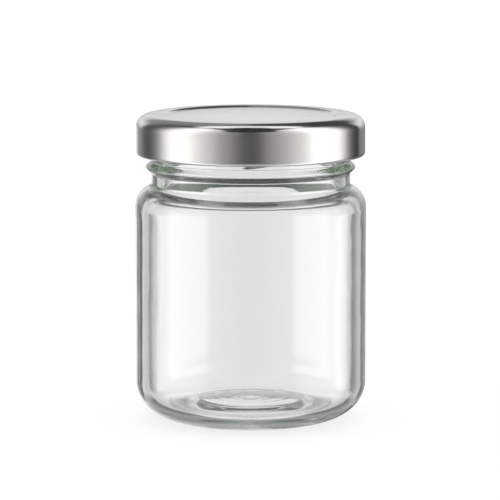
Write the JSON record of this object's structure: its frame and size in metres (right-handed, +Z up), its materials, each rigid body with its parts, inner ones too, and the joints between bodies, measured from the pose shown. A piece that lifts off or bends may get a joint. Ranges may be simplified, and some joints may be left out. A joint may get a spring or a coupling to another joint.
{
  "type": "glass jar",
  "caption": "Small round food jar of clear glass, closed by a metal twist-off lid whose sealing ring presses on the glass rim.",
  "frame": {"origin": "middle of the ring that the jar stands on, at the height of the table", "axes": "+Z up along the jar's axis; one thread starts five degrees left of -Y, which faces the viewer"},
  "size_m": [0.056, 0.056, 0.0746],
  "materials": {
    "glass": "clear and glossy, faintly green through thick edges",
    "tinplate": "satin silver lacquer",
    "sealing_compound": "soft matt compound"
  },
  "bodies": {
    "jar": {"glass_jar": "glass"},
    "seal": {"sealing_ring": "sealing_compound"},
    "lid": {"lid_shell": "tinplate"}
  },
  "joints": [
    {"name": "lid_lift", "type": "slide", "parent": "jar", "child": "seal", "axis": [0, 0, 1], "range_m": [0, 0.0215]},
    {"name": "lid_twist", "type": "hinge", "parent": "seal", "child": "lid", "pos_m": [0, 0, 0.065], "axis": [0, 0, 1], "range_deg": [0, 360]}
  ],
  "couplings": [
    {"joint": "lid_lift", "follows": "lid_twist", "m_per_rad": 0.0034218}
  ]
}
